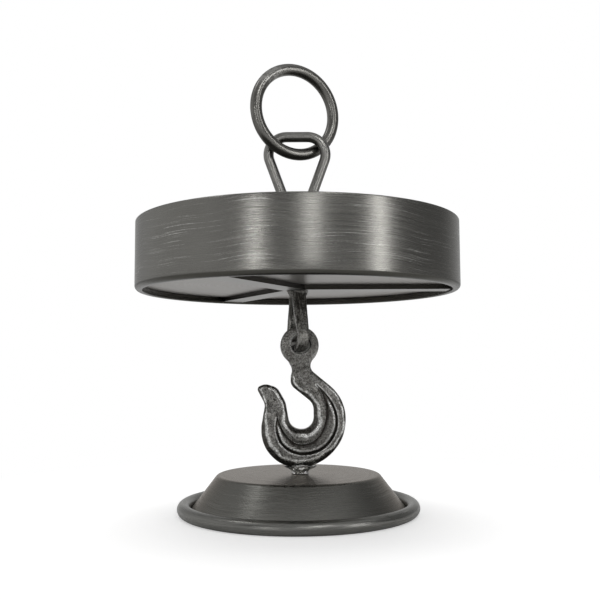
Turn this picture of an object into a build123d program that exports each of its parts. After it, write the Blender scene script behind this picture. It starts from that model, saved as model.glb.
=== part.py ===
from build123d import *
import os
from math import asin, atan2, cos, hypot, radians, sin, tan

# Base: a spun dish nested in a hoop of round bar that stands on the floor
hoop_wire = 8.0
hoop_radius = 69.6  # to the centre of the bar
dish_height = 23.4
dish_top_radius = 49.6
dish_wall = 2.0
dish_shoulder = 3.0
foot_lift = 0.6  # the dish's rim stays this far off the floor
nest = 0.15  # depth of the seat that the hoop presses into the dish

# Cast hook: its outline grows with the height of its eye's centre above its heel
hook_shift = 1.0  # to the right of the drum's axis
hook_thick = 11.0
hook_lift = 4.0  # from the dish's top to the heel, filled by the foot weld
hook_edge = 1.8
eye_height = 74.4
eye_radius = 12.0
eye_bore = 6.9
bore_round = 0.8
eye_thick = 6.0
eye_flat = 5.0  # the eye is at its thinnest from this far above its lowest point
neck_sweep = 11.0  # height over which the casting thins to the eye
neck_fillet = 4.0
panel_depth = 1.2  # crescent panel sunk into both faces
foot_weld_radius = 5.8
foot_weld_flare = 3.2  # how much wider it is at the heel
foot_weld_climb = 2.0  # up the sides of the heel

# Strap link: a bent flat bar that goes through the eye
link_width = 7.5
link_thick = 4.5
link_bend = 8.2  # radius of its bend, to the middle of the bar
link_height = 38.3  # from the underside of the bend to the spokes
link_turn = 66.0  # turned from the hook's plane
leg_gap = 1.6  # between its two ends under the spokes
eye_gap = 2.8  # under the bend, filled by the eye weld
weld_rise = 2.4  # from the eye's centre up to the top of its weld

# Drum: a rolled band with plates set into both ends and three spokes under the lower one
drum_radius = 100.0
drum_height = 42.2
band_wall = 1.8
hem_width = 4.7
hem_height = 4.3
hem_round = 3.0
rim_round = 0.8
plate_thick = 2.5
top_recess = 2.0
spoke_width = 15.0
spoke_thick = 3.0
spoke_gap = 1.0  # between a spoke's end and the hem
hub_weld_radius = 7.0
hub_weld_height = 4.6

# Hanger loop: bent round bar standing on the drum's top plate
loop_wire = 6.5
loop_height = 62.5
loop_lean = 20.0  # each leg from the vertical
loop_shoulder = 11.4
loop_foot_gap = 0.8  # between its legs where they meet the foot bend
loop_weld_radius = 8.5
loop_weld_height = 5.0

# Suspension ring, threaded through the loop
ring_wire = 7.4
ring_radius = 27.4  # to the centre of the bar
ring_rise = 16.25  # from the loop's top bar to the ring's centre
ring_shift = -0.95
ring_turn = 27.2  # turned from the loop's plane

# Heights that follow from the sizes above
heel_z = dish_height + hook_lift
eye_z = heel_z + eye_height
bend_z = eye_z - eye_bore + eye_gap  # underside of the link's bend
hub_z = bend_z + link_height  # underside of the spokes
drum_z = hub_z + spoke_thick - hem_height
drum_top_z = drum_z + drum_height
loop_foot_z = drum_top_z - top_recess
bar_z = loop_foot_z + loop_height - loop_wire / 2
inner_radius = drum_radius - band_wall
hem_radius = drum_radius - hem_width

os.makedirs("parts", exist_ok=True)


def save(node, label):
    node.part.label = label
    export_step(node.part, f"parts/{label}.step")


# Base

# The dish's side leaves the edge of its top and touches the hoop from inside and below
edge_to_hoop = (hoop_radius - dish_top_radius, hoop_wire / 2 - dish_height)
side_angle = atan2(edge_to_hoop[1], edge_to_hoop[0]) - asin((hoop_wire / 2 - nest) / hypot(*edge_to_hoop))


def dish_radius(z, inset):
    # Radius of the dish's side at height z, on the surface or this far under it
    return dish_top_radius + (dish_height - z) / -tan(side_angle) - inset / sin(-side_angle)


with BuildPart() as base_hoop:
    with Locations((0, 0, hoop_wire / 2)):
        Torus(hoop_radius, hoop_wire / 2)
save(base_hoop, "base_hoop")

roof = dish_height - dish_wall
with BuildPart() as base_dish:
    with BuildSketch(Plane.XZ):
        with BuildLine():
            outside = FilletPolyline(
                (0, dish_height),
                (dish_top_radius, dish_height),
                (dish_radius(foot_lift, 0), foot_lift),
                radius=dish_shoulder,
            )
            inside = FilletPolyline(
                (dish_radius(foot_lift, dish_wall), foot_lift),
                (dish_radius(roof, dish_wall), roof),
                (0, roof),
                radius=max(dish_shoulder - dish_wall, 0.5),
            )
            Line(outside @ 1, inside @ 0)
            Line(inside @ 1, outside @ 0)
        make_face()
    revolve(axis=Axis.Z)
    add(base_hoop.part, mode=Mode.SUBTRACT)
save(base_dish, "base_dish")

# Hook: corners of its outline as x, z and the radius that rounds each, in hundredths of the
# eye's height, from the neck down the back, round the heel and the point, and up the throat
hook_unit = eye_height / 100
hook_corners = [
    (7.93, 80.91, 6.72),
    (37.9, 56.05, 34.95), (37.9, 23.25, 37.63), (14.65, 0.0, 37.63),
    (-14.11, 0.0, 29.57), (-31.85, 17.74, 29.57), (-31.85, 33.6, 16.13),
    (-28.63, 51.61, 8.06), (-36.02, 65.32, 2.96), (-28.9, 68.41, 8.06), (-18.82, 65.32, 8.06),
    (-11.69, 52.96, 16.13), (-7.93, 30.91, 9.95), (11.42, 30.91, 9.95), (11.42, 51.88, 10.75),
    (-7.53, 67.07, 8.06), (-7.53, 74.73, 6.72), (-5.91, 79.84, 8.06),
]
# Crescent panel sunk into both faces, in the same measure
panel_outer = [(13.98, 67.47), (23.92, 57.12), (30.38, 44.35), (29.97, 29.57), (19.49, 15.19),
               (1.34, 10.35), (-14.25, 17.34), (-19.89, 32.26), (-18.28, 41.94)]
panel_inner = [(-18.28, 41.94), (-12.63, 28.9), (-1.88, 19.35), (11.29, 21.91), (20.43, 36.02),
               (20.43, 53.76), (13.98, 67.47)]
# The neck runs into the eye at these two places
eye_corners = [
    (eye_radius * 0.775, eye_height - eye_radius * 0.41, 0),
    (-eye_radius * 0.775, eye_height - eye_radius * 0.46, 0),
]


def in_mm(points):
    return [tuple(hook_unit * v for v in point) for point in points]


with BuildPart() as hook:
    # Drawn on the rear face and extruded forwards
    rear_face = Plane(origin=(hook_shift, hook_thick / 2, heel_z), x_dir=(1, 0, 0), z_dir=(0, -1, 0))
    with BuildSketch(rear_face) as outline:
        with BuildLine():
            round_trip = [eye_corners[0]] + in_mm(hook_corners) + [eye_corners[1]]
            FilletPolyline(
                *[(x, z) for x, z, r in round_trip], radius=[r for x, z, r in round_trip], close=True
            )
        make_face()
        with Locations((0, eye_height)):
            Circle(eye_radius)
        corners = outline.vertices().filter_by(
            lambda v: hypot(v.X, v.Y - eye_height) < eye_radius + 0.01
        )
        fillet(corners, neck_fillet)
    extrude(amount=hook_thick)
    fillet(hook.edges().filter_by(Axis.Y, reverse=True), hook_edge)
    # The neck and the eye are thinner than the body, with a hollow sweep between
    sweep_z = eye_z - eye_radius + eye_flat
    for face in (1, -1):
        with BuildSketch(Plane.YZ.offset(-eye_radius * 1.5)):
            with BuildLine():
                cheek = Polyline(
                    (face * hook_thick, sweep_z - neck_sweep),
                    (face * hook_thick, eye_z + eye_radius + 2),
                    (face * eye_thick / 2, eye_z + eye_radius + 2),
                    (face * eye_thick / 2, sweep_z),
                )
                TangentArc(cheek @ 1, cheek @ 0, tangent=(0, -1))
            make_face()
        extrude(amount=eye_radius * 3, mode=Mode.SUBTRACT)
    fillet(hook.edges().filter_by(GeomType.CIRCLE).sort_by(SortBy.LENGTH)[-2:], hook_edge)
    with Locations(Location((hook_shift, 0, eye_z), (90, 0, 0))):
        Cylinder(eye_bore, hook_thick * 2, mode=Mode.SUBTRACT)
    rims = hook.edges().filter_by(GeomType.CIRCLE).filter_by(lambda e: abs(e.radius - eye_bore) < 1e-4)
    fillet(rims, bore_round)
    for side in (1, -1):
        panel_plane = Plane(
            origin=(hook_shift, side * (hook_thick / 2 - panel_depth), heel_z),
            x_dir=(1, 0, 0),
            z_dir=(0, -1, 0),
        )
        with BuildSketch(panel_plane):
            with BuildLine():
                Spline(*in_mm(panel_outer))
                Spline(*in_mm(panel_inner))
            make_face()
        extrude(amount=-side * hook_thick, mode=Mode.SUBTRACT)
save(hook, "hook")

with BuildPart() as foot_weld:
    wide = foot_weld_radius + foot_weld_flare
    for z, across, through in (
        (dish_height, foot_weld_radius, foot_weld_radius),
        (heel_z - hook_lift / 4, foot_weld_radius, foot_weld_radius),
        (heel_z + foot_weld_climb, wide, (wide + hook_thick / 2) / 2),
    ):
        with BuildSketch(Plane.XY.offset(z)):
            with Locations((hook_shift, 0)):
                Ellipse(across, through)
    loft()
    fillet(foot_weld.faces().sort_by(Axis.Z)[-1].edges(), 0.8)
    add(hook.part, mode=Mode.SUBTRACT)
save(foot_weld, "foot_weld")

# Link: both ends meet at the hub, and its legs spread to the bend in the eye
bend_centre = bend_z + link_thick / 2 + link_bend
leg_top = (link_thick + leg_gap) / 2
leg_reach = hypot(leg_top, hub_z - bend_centre)
# Angle on the bend at which a leg leaves it
leg_angle = atan2(hub_z - bend_centre, leg_top) - atan2(
    (leg_reach**2 - link_bend**2) ** 0.5, link_bend
)
link_plane = Plane(
    origin=(0, 0, bend_centre),
    x_dir=(cos(radians(link_turn)), -sin(radians(link_turn)), 0),
    z_dir=(-sin(radians(link_turn)), -cos(radians(link_turn)), 0),
)

with BuildPart() as link:
    with BuildLine(link_plane) as link_path:
        leaves = (link_bend * cos(leg_angle), link_bend * sin(leg_angle))
        Line((leg_top, hub_z - bend_centre), leaves)
        ThreePointArc(leaves, (0, -link_bend), (-leaves[0], leaves[1]))
        Line((-leaves[0], leaves[1]), (-leg_top, hub_z - bend_centre))
    start = link_path.line
    with BuildSketch(Plane(origin=start @ 0, x_dir=link_plane.z_dir, z_dir=start % 0)):
        RectangleRounded(link_width, link_thick, link_thick * 0.4)
    sweep()
    # The ends are cut level under the spokes
    with BuildSketch(Plane.XY.offset(hub_z)):
        Circle(link_width * 2)
    extrude(amount=link_thick, mode=Mode.SUBTRACT)
save(link, "link")

with BuildPart() as eye_weld:
    with Locations(Location((hook_shift, 0, eye_z), (90, 0, 0))):
        Cylinder(eye_bore, eye_thick - 2 * bore_round)
    with Locations((hook_shift, 0, eye_z + weld_rise)):
        Box(eye_bore * 4, eye_thick * 4, eye_bore * 4, align=(Align.CENTER, Align.CENTER, Align.MIN),
            mode=Mode.SUBTRACT)
    add(link.part, mode=Mode.SUBTRACT)
save(eye_weld, "eye_weld")

# Drum
with BuildPart() as drum_band:
    with BuildSketch(Plane.XZ):
        with BuildLine():
            FilletPolyline(
                (inner_radius, drum_z + hem_height),
                (hem_radius, drum_z + hem_height),
                (hem_radius, drum_z),
                (drum_radius, drum_z),
                (drum_radius, drum_top_z),
                (inner_radius, drum_top_z),
                (inner_radius, drum_z + hem_height),
                radius=[0, 0.5, rim_round, hem_round, rim_round, rim_round / 2],
                close=True,
            )
        make_face()
    revolve(axis=Axis.Z)
save(drum_band, "drum_band")

with BuildPart() as drum_bottom_plate:
    with BuildSketch(Plane.XY.offset(drum_z + hem_height)):
        Circle(inner_radius)
    extrude(amount=plate_thick)
save(drum_bottom_plate, "drum_bottom_plate")

with BuildPart() as drum_top_plate:
    with BuildSketch(Plane.XY.offset(loop_foot_z)):
        Circle(inner_radius)
    extrude(amount=-plate_thick)
save(drum_top_plate, "drum_top_plate")

# The spokes' inner ends are mitred so that the three close on each other under the hub
spoke_names = ("spoke_right", "spoke_rear", "spoke_front")
mitre = spoke_width / 2 / tan(radians(60))
spoke_end = hem_radius - spoke_gap
for place, name in enumerate(spoke_names):
    with BuildPart() as spoke:
        with BuildSketch(Plane.XY.offset(hub_z).rotated((0, 0, 120 * place))):
            with BuildLine():
                Polyline(
                    (0, 0),
                    (mitre, spoke_width / 2),
                    (spoke_end, spoke_width / 2),
                    (spoke_end, -spoke_width / 2),
                    (mitre, -spoke_width / 2),
                    close=True,
                )
            make_face()
        extrude(amount=spoke_thick)
    save(spoke, name)

with BuildPart() as hub_weld:
    with BuildSketch(Plane.XZ):
        with BuildLine():
            Polyline((0, hub_z - hub_weld_height), (0, hub_z), (hub_weld_radius, hub_z))
            Spline(
                (hub_weld_radius, hub_z),
                (hub_weld_radius * 0.66, hub_z - hub_weld_height),
                tangents=((-0.2, -1), (-0.5, -1)),
            )
            Line((hub_weld_radius * 0.66, hub_z - hub_weld_height), (0, hub_z - hub_weld_height))
        make_face()
    revolve(axis=Axis.Z)
    add(link.part, mode=Mode.SUBTRACT)
save(hub_weld, "hub_weld")

# Hanger loop: a triangle of bar with round corners, its point down on the top plate
lean = radians(loop_lean)
foot_bend = (loop_wire + loop_foot_gap) / 2
point_z = loop_foot_z + loop_wire / 2 + foot_bend - foot_bend / sin(lean)
corner_x = (bar_z - point_z) * tan(lean)

with BuildPart() as hanger_loop:
    with BuildLine(Plane.XZ) as loop_path:
        FilletPolyline(
            (0, bar_z),
            (corner_x, bar_z),
            (0, point_z),
            (-corner_x, bar_z),
            (0, bar_z),
            radius=[0, loop_shoulder, foot_bend, loop_shoulder],
            close=True,
        )
    with BuildSketch(Plane(origin=(0, 0, bar_z), z_dir=(1, 0, 0))):
        Circle(loop_wire / 2)
    sweep(path=loop_path.wire())
save(hanger_loop, "hanger_loop")

with BuildPart() as loop_weld:
    with BuildSketch(Plane.XZ):
        with BuildLine():
            Polyline(
                (0, loop_foot_z + loop_weld_height),
                (0, loop_foot_z),
                (loop_weld_radius, loop_foot_z),
            )
            Spline(
                (loop_weld_radius, loop_foot_z),
                (loop_weld_radius * 0.6, loop_foot_z + loop_weld_height),
                tangents=((-0.3, 1), (-1, 0.6)),
            )
            Line(
                (loop_weld_radius * 0.6, loop_foot_z + loop_weld_height),
                (0, loop_foot_z + loop_weld_height),
            )
        make_face()
    revolve(axis=Axis.Z)
    add(hanger_loop.part, mode=Mode.SUBTRACT)
save(loop_weld, "loop_weld")

# Suspension ring, upright and turned from the loop's plane
with BuildPart() as suspension_ring:
    turn = radians(ring_turn)
    ring_plane = Plane(
        origin=(ring_shift, 0, bar_z + ring_rise),
        x_dir=(cos(turn), sin(turn), 0),
        z_dir=(sin(turn), -cos(turn), 0),
    )
    with Locations(ring_plane.location):
        Torus(ring_radius, ring_wire / 2)
save(suspension_ring, "suspension_ring")
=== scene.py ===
import math

import bpy
import numpy as np
from mathutils import Matrix, Vector, noise


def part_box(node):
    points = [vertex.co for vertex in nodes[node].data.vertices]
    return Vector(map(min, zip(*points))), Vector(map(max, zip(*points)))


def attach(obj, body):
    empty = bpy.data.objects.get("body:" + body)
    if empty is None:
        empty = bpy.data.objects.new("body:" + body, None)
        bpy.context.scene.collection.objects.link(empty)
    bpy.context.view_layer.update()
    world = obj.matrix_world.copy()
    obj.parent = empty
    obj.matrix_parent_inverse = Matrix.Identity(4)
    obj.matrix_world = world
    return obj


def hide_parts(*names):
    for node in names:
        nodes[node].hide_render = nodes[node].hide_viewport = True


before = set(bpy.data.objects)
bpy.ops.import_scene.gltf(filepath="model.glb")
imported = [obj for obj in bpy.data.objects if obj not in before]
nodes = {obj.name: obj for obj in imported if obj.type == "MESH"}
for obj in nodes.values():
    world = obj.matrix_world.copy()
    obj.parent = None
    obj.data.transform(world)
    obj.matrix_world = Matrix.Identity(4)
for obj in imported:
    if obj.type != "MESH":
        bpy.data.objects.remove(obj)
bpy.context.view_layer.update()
mm = 0.001
print("frame loaded with", len(nodes), "nodes")


# mesh helpers, all in millimetres


def boxOf(name):
    low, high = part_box(name)
    return low / mm, high / mm


def addObject(name, data):
    made = bpy.data.objects.new(name, data)
    bpy.context.scene.collection.objects.link(made)
    return made


def addPiece(name, points, faces, body, replaced, sharpAngle=40):
    mesh = bpy.data.meshes.new(name)
    mesh.from_pydata([(p[0] * mm, p[1] * mm, p[2] * mm) for p in points], [], faces)
    mesh.validate()
    piece = addObject(name, mesh)
    mesh.shade_smooth()
    mesh.set_sharp_from_angle(angle=math.radians(sharpAngle))
    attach(piece, body)
    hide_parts(*replaced)
    return piece


def filletPath(corners, steps):
    # corners are (x, y, radius); each becomes an arc that touches both of its sides, and 0 keeps a corner
    count = len(corners)
    path = []
    for i, (x, y, radius) in enumerate(corners):
        here = Vector((x, y))
        if radius == 0:
            path.append(here)
            continue
        before = (Vector(corners[i - 1][:2]) - here).normalized()
        after = (Vector(corners[(i + 1) % count][:2]) - here).normalized()
        half = math.acos(max(-1, min(1, before.dot(after)))) / 2
        centre = here + (before + after).normalized() * radius / math.sin(half)
        start = here + before * radius / math.tan(half) - centre
        end = here + after * radius / math.tan(half) - centre
        sweep = start.angle_signed(end)
        for k in range(steps + 1):
            turn = -sweep * k / steps
            path.append(centre + Vector((
                start.x * math.cos(turn) - start.y * math.sin(turn),
                start.x * math.sin(turn) + start.y * math.cos(turn),
            )))
    return [(p.x, p.y) for p in path]


def evenPath(path, spacing):
    # the same closed line with points a nearly even distance apart
    points = [Vector(p) for p in path + path[:1]]
    lengths = [0.0]
    for a, b in zip(points, points[1:]):
        lengths.append(lengths[-1] + (b - a).length)
    count = max(8, round(lengths[-1] / spacing))
    even, at = [], 0
    for k in range(count):
        target = lengths[-1] * k / count
        while at < len(lengths) - 2 and lengths[at + 1] < target:
            at += 1
        step = lengths[at + 1] - lengths[at]
        share = (target - lengths[at]) / step if step else 0
        even.append(points[at].lerp(points[at + 1], share))
    return even


def latheFaces(profile, turns):
    # turns a closed profile of (radius, height) round the axis; radius 0 becomes one point
    points, rows = [], []
    for radius, height in profile:
        if radius < 1e-6:
            rows.append([len(points)] * turns)
            points.append((0, 0, height))
            continue
        rows.append(list(range(len(points), len(points) + turns)))
        for k in range(turns):
            angle = 2 * math.pi * k / turns
            points.append((radius * math.sin(angle), -radius * math.cos(angle), height))
    faces = []
    for low, high in zip(rows, rows[1:] + rows[:1]):
        for k in range(turns):
            n = (k + 1) % turns
            ring = [low[k], low[n], high[n], high[k]]
            face = [v for i, v in enumerate(ring) if v not in ring[:i]]
            if len(face) > 2:
                faces.append(face)
    return points, faces


def sweepFaces(path, normal, section):
    # carries a cross-section of (side, normal) offsets along a closed path that lies in one plane
    count, sides = len(path), len(section)
    normal = Vector(normal).normalized()
    points, faces, place, turn = [], [], [], []
    for i, centre in enumerate(path):
        j = (i + 1) % count
        side = normal.cross((path[j] - path[i - 1]).normalized())
        angle = 2 * math.pi * i / count
        for k, (s, n) in enumerate(section):
            points.append(centre + side * s + normal * n)
            around = 2 * math.pi * k / sides
            place.append((math.cos(angle), math.sin(angle), math.cos(around)))
            turn.append(math.sin(around))
            m = (k + 1) % sides
            faces.append((i * sides + k, j * sides + k, j * sides + m, i * sides + m))
    return points, faces, place, turn


def circleSection(radius, sides=32):
    return [
        (radius * math.cos(2 * math.pi * k / sides), radius * math.sin(2 * math.pi * k / sides))
        for k in range(sides)
    ]


def addBar(name, path, normal, section, body, replaced):
    # a bar that also remembers how far along and how far round it each point is
    points, faces, place, turn = sweepFaces(path, normal, section)
    piece = addPiece(name, points, faces, body, replaced, sharpAngle=60)
    length = sum((b - a).length for a, b in zip(path, path[1:]))
    reach = length / (2 * math.pi)
    mesh = piece.data
    along = mesh.attributes.new("barPlace", "FLOAT_VECTOR", "POINT")
    along.data.foreach_set("vector", [v for x, y, c in place for v in (x * reach, y * reach, c)])
    around = mesh.attributes.new("barTurn", "FLOAT", "POINT")
    around.data.foreach_set("value", turn)
    return piece


def meshArrays(mesh):
    co = np.zeros(len(mesh.vertices) * 3)
    mesh.vertices.foreach_get("co", co)
    normal = np.zeros(len(mesh.vertices) * 3)
    mesh.vertex_normals.foreach_get("vector", normal)
    edges = np.zeros(len(mesh.edges) * 2, int)
    mesh.edges.foreach_get("vertices", edges)
    return co.reshape(-1, 3) / mm, normal.reshape(-1, 3), edges.reshape(-1, 2)


def neighbourMean(values, edges, times):
    # averages each point with its neighbours, again and again
    count = np.bincount(edges.ravel(), minlength=len(values)).astype(float)
    count[count == 0] = 1
    out = values.copy()
    for _ in range(times):
        total = np.zeros_like(out)
        np.add.at(total, edges[:, 0], out[edges[:, 1]])
        np.add.at(total, edges[:, 1], out[edges[:, 0]])
        out = 0.5 * out + 0.5 * total / (count[:, None] if out.ndim == 2 else count)
    return out


def storeShape(piece, co):
    piece.data.vertices.foreach_set("co", (co * mm).ravel())
    piece.data.update()
    piece.data.shade_smooth()


def storeWear(piece, reach, rubAndHighlight=0, coatAndShade=0):
    # the ridge mask is high on ridges and the hollow mask in grooves, at the scale that reach gives; the
    # caller may add rubbing and painted highlights to the first, and patina and painted shade to the second
    co, normal, edges = meshArrays(piece.data)
    bulge = np.einsum("ij,ij->i", co - neighbourMean(co, edges, reach), normal)
    bulge = neighbourMean(bulge, edges, 2)
    stored = {"edgeRub": np.maximum(bulge, rubAndHighlight), "hollow": np.maximum(-bulge, coatAndShade)}
    for name, values in stored.items():
        attribute = piece.data.attributes.new(name, "FLOAT", "POINT")
        attribute.data.foreach_set("value", np.clip(values, 0, None).astype(np.float32))


def noiseAt(points, size, seed):
    return np.array([noise.noise(Vector(p) / size + Vector((seed, 0, 0))) for p in points])


# shader helpers: inputs are given by name or number, each a value or another node's output


def feed(tree, socket, value):
    if isinstance(value, bpy.types.NodeSocket):
        tree.links.new(value, socket)
    elif socket.type == "RGBA":
        socket.default_value = (*value, 1)
    else:
        socket.default_value = value


def addNode(tree, kind, inputs=None, **settings):
    # nodes stand in rows of eight, in the order they are made
    node = tree.nodes.new("ShaderNode" + kind)
    row, column = divmod(len(tree.nodes) - 1, 8)
    node.location = (column * 190, row * -330)
    for name, value in settings.items():
        setattr(node, name, value)
    for key, value in (inputs or {}).items():
        feed(tree, node.inputs[key], value)
    return node


def mathNode(tree, operation, *values, clamp=False):
    return addNode(tree, "Math", dict(enumerate(values)), operation=operation, use_clamp=clamp).outputs[0]


def vectorMath(tree, operation, inputs, result="Vector"):
    return addNode(tree, "VectorMath", inputs, operation=operation).outputs[result]


def mapRange(tree, value, low, high, toLow=0.0, toHigh=1.0):
    inputs = {"Value": value, "From Min": low, "From Max": high, "To Min": toLow, "To Max": toHigh}
    return addNode(tree, "MapRange", inputs, interpolation_type="SMOOTHSTEP").outputs["Result"]


def mixColour(tree, share, a, b):
    return addNode(tree, "Mix", {0: share, 6: a, 7: b}, data_type="RGBA").outputs[2]


def noiseTexture(tree, vector, scale, detail=2.0, roughness=0.5, w=None):
    inputs = {"Vector": vector, "Scale": scale, "Detail": detail, "Roughness": roughness}
    if w is None:
        return addNode(tree, "TexNoise", inputs).outputs["Fac"]
    return addNode(tree, "TexNoise", {**inputs, "W": w}, noise_dimensions="4D").outputs["Fac"]


def objectPlace(tree):
    return addNode(tree, "TexCoord").outputs["Object"]


def upOf(tree, kind="Normal"):
    # the upright share of the surface's normal
    normal = addNode(tree, "NewGeometry").outputs[kind]
    return addNode(tree, "SeparateXYZ", {0: normal}).outputs[2]


def newGroup(name, inputs, outputs):
    group = bpy.data.node_groups.new(name, "ShaderNodeTree")
    for label, value in inputs.items():
        socket = group.interface.new_socket(label, in_out="INPUT", socket_type="NodeSocketFloat")
        socket.default_value = value
    for label in outputs:
        group.interface.new_socket(label, in_out="OUTPUT", socket_type="NodeSocketFloat")
    start = group.nodes.new("NodeGroupInput")
    end = group.nodes.new("NodeGroupOutput")
    start.location, end.location = (-300, 0), (1700, 0)
    return group, start.outputs, end.inputs


def makeSpunStreaks():
    # rubbed streaks that run round the upright axis, without a seam
    group, given, out = newGroup(
        "spunStreaks",
        {"Radius": 0.1, "Streak Length": 0.016, "Streak Height": 0.0006, "Wander": 0.0025, "Amount": 0.5},
        ["Fine", "Streak", "Cloud"],
    )
    place = objectPlace(group)
    split = addNode(group, "SeparateXYZ", {0: place}).outputs
    flat = addNode(group, "CombineXYZ", {0: split[0], 1: split[1]}).outputs[0]
    way = vectorMath(group, "NORMALIZE", {0: flat})
    # the distance from the axis counts as height where the surface is level
    reach = vectorMath(group, "LENGTH", {0: flat}, "Value")
    level = mathNode(group, "MULTIPLY_ADD", reach, 0.7, split[2])
    drift = noiseTexture(group, vectorMath(group, "SCALE", {0: way, "Scale": 1.6}), 1.0, 1.0)
    lift = mathNode(group, "MULTIPLY_ADD", drift, given["Wander"], level)
    around = mathNode(group, "DIVIDE", given["Radius"], given["Streak Length"])

    def stretched(share, height):
        ring = vectorMath(group, "SCALE", {0: way, "Scale": mathNode(group, "MULTIPLY", around, share)})
        rows = mathNode(group, "MULTIPLY", given["Streak Height"], height)
        up = addNode(group, "CombineXYZ", {2: mathNode(group, "DIVIDE", lift, rows)}).outputs[0]
        return vectorMath(group, "ADD", {0: ring, 1: up})

    fine = noiseTexture(group, stretched(1.3, 0.55), 1.0, 3.0, 0.6)
    long = noiseTexture(group, stretched(1.0, 1.0), 1.0, 2.0, 0.55)
    cloud = noiseTexture(group, place, 34.0)
    # a patchy cut-off leaves bright streaks only here and there
    cut = mathNode(group, "MULTIPLY_ADD", cloud, -0.35, 0.86)
    cut = mathNode(group, "MULTIPLY_ADD", given["Amount"], -0.12, cut)
    streak = mapRange(group, mathNode(group, "SUBTRACT", long, cut), 0.0, 0.07)
    dots = mapRange(group, noiseTexture(group, place, 900.0, 2.0, 0.6), 0.36, 0.6, 0.25, 1.0)
    feed(group, out["Streak"], mathNode(group, "MULTIPLY", streak, dots))
    feed(group, out["Fine"], fine)
    feed(group, out["Cloud"], cloud)
    return group


def makeBarRub():
    # rubbing along a bar: soft long patches and fine drawn lines
    group, given, out = newGroup("barRub", {"Patch Length": 9.0, "Line Width": 0.35, "Amount": 0.5},
                                 ["Lines", "Worn"])
    place = addNode(group, "Attribute", attribute_name="barPlace").outputs["Vector"]
    turn = addNode(group, "Attribute", attribute_name="barTurn").outputs["Fac"]
    split = addNode(group, "SeparateXYZ", {0: place}).outputs

    def alongBar(width, *noiseSettings):
        lengths = (given["Patch Length"], given["Patch Length"], width)
        parts = {i: mathNode(group, "DIVIDE", split[i], lengths[i]) for i in range(3)}
        vector = addNode(group, "CombineXYZ", parts).outputs[0]
        return noiseTexture(group, vector, *noiseSettings, w=mathNode(group, "DIVIDE", turn, width))

    feed(group, out["Lines"], alongBar(given["Line Width"], 2.2, 3.0, 0.6))
    worn = alongBar(2.6, 1.0, 1.5, 0.5)
    cut = mathNode(group, "MULTIPLY_ADD", given["Amount"], -0.25, 0.72)
    feed(group, out["Worn"], mapRange(group, mathNode(group, "SUBTRACT", worn, cut), 0.0, 0.13))
    return group


def makeCastGrain():
    # the pitted skin of a sand casting
    group, given, out = newGroup("castGrain", {"Grain Size": 0.0009, "Pit Size": 0.0018},
                                 ["Grain", "Pit", "Speckle"])
    place = objectPlace(group)

    def scaled(size):
        return vectorMath(group, "SCALE", {0: place, "Scale": mathNode(group, "DIVIDE", 1.0, given[size])})

    feed(group, out["Grain"], noiseTexture(group, scaled("Grain Size"), 1.0, 4.0, 0.62))
    cells = {"Vector": scaled("Pit Size"), "Scale": 1.0, "Smoothness": 0.4}
    feed(group, out["Pit"], addNode(group, "TexVoronoi", cells, feature="SMOOTH_F1").outputs["Distance"])
    speckle = noiseTexture(group, scaled("Grain Size"), 2.3, 2.0, 0.7)
    feed(group, out["Speckle"], mapRange(group, speckle, 0.5, 0.72))
    return group


def makeEdgeWear():
    # rubbed corners: where a rounded normal leaves the true one
    group, given, out = newGroup("edgeWear", {"Width": 0.0008, "Break Up": 0.5}, ["Mask"])
    rounded = addNode(group, "Bevel", {"Radius": given["Width"]}, samples=6).outputs[0]
    flat = addNode(group, "NewGeometry").outputs["Normal"]
    same = vectorMath(group, "DOT_PRODUCT", {0: rounded, 1: flat}, "Value")
    edge = mapRange(group, mathNode(group, "SUBTRACT", 1.0, same), 0.01, 0.2)
    patch = mapRange(group, noiseTexture(group, objectPlace(group), 260.0, 3.0, 0.65), 0.35, 0.65)
    keep = mathNode(group, "SUBTRACT", 1.0, mathNode(group, "MULTIPLY", patch, given["Break Up"]))
    feed(group, out["Mask"], mathNode(group, "MULTIPLY", edge, keep, clamp=True))
    return group


spunStreaks = makeSpunStreaks()
barRub = makeBarRub()
castGrain = makeCastGrain()
edgeWear = makeEdgeWear()
print("finish groups made")


def newMaterial(name):
    material = bpy.data.materials.new(name)
    material.use_nodes = True
    material.node_tree.nodes.clear()
    return material, material.node_tree


def useGroup(tree, group, values):
    # values are named as the group's inputs are, in camelCase
    node = addNode(tree, "Group", node_tree=group)
    for socket in node.inputs:
        key = socket.name[0].lower() + socket.name[1:].replace(" ", "")
        socket.default_value = values[key]
    return node.outputs


def closeMaterial(tree, look, base, rough, bumps):
    # the shader itself, with the bumps laid one over the other
    normal = {}
    for height, strength, distance in bumps:
        bump = addNode(tree, "Bump", {"Height": height, "Strength": strength, "Distance": distance, **normal})
        normal = {"Normal": bump.outputs[0]}
    shader = addNode(tree, "BsdfPrincipled", {
        "Base Color": base, "Roughness": rough, "Metallic": look.get("metallic", 1.0),
        "Specular Tint": look.get("edgeTint", (1, 1, 1)), **normal,
    })
    addNode(tree, "OutputMaterial", {0: shader.outputs[0]})


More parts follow.
